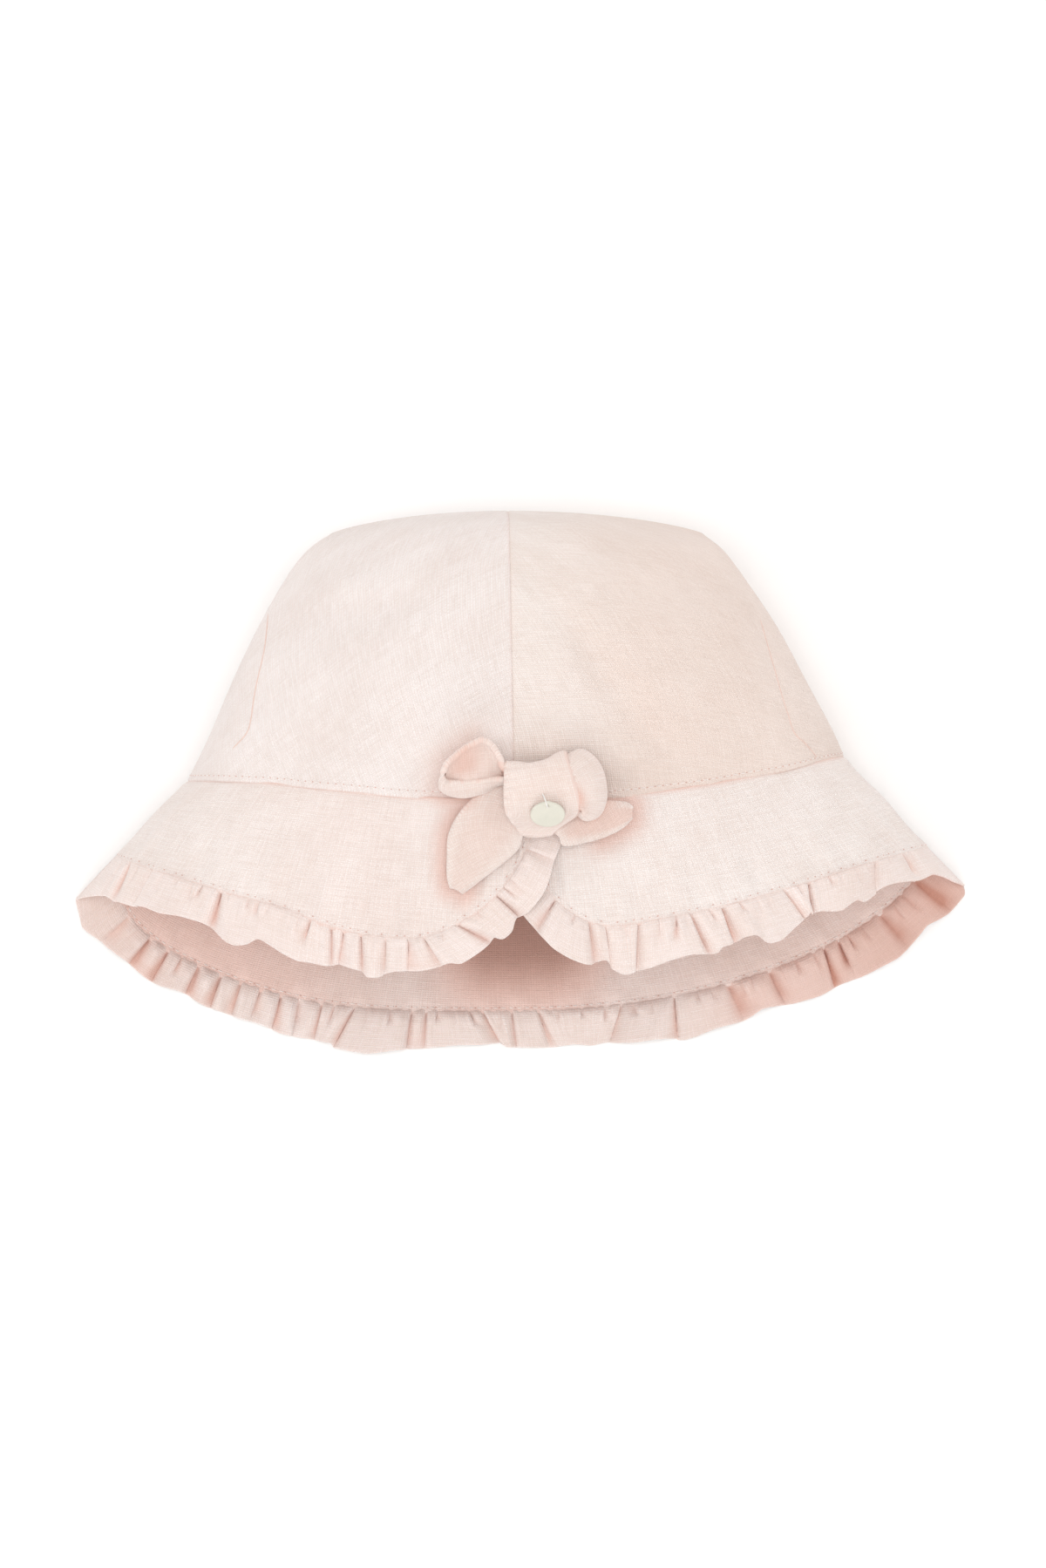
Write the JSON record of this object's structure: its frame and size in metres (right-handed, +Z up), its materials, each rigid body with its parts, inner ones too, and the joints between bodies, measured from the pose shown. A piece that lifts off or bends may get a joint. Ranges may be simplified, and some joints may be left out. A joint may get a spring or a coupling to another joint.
{
  "type": "baby sun hat",
  "caption": "Soft linen baby bucket hat lying on its back, with a seamed crown, lapped petal brim, gathered frill and a bow with a small disc.",
  "frame": {"origin": "middle of the hat's outline on the surface that its back lies on", "axes": "+X to the right of the hat's front, +Y to the top of the crown, +Z up from the back of the hat to its front"},
  "size_m": [0.2656, 0.1606, 0.0889],
  "materials": {
    "linen_crown": "washed plain-weave linen, pale pink, with a fine slub",
    "linen_brim": "the same linen with a linen facing, topstitched at both edges",
    "linen_frill": "the same linen folded double and gathered into its stitching",
    "linen_bow": "the same linen sewn into a turned band",
    "pearl": "smooth pearly disc with a soft gloss"
  },
  "bodies": {
    "root": {"crown_left": "linen_crown", "crown_right": "linen_crown", "brim": "linen_brim", "frill": "linen_frill", "bow_loops": "linen_bow", "bow_tails": "linen_bow", "bow_knot": "linen_bow", "pearl_disc": "pearl"}
  },
  "joints": []
}
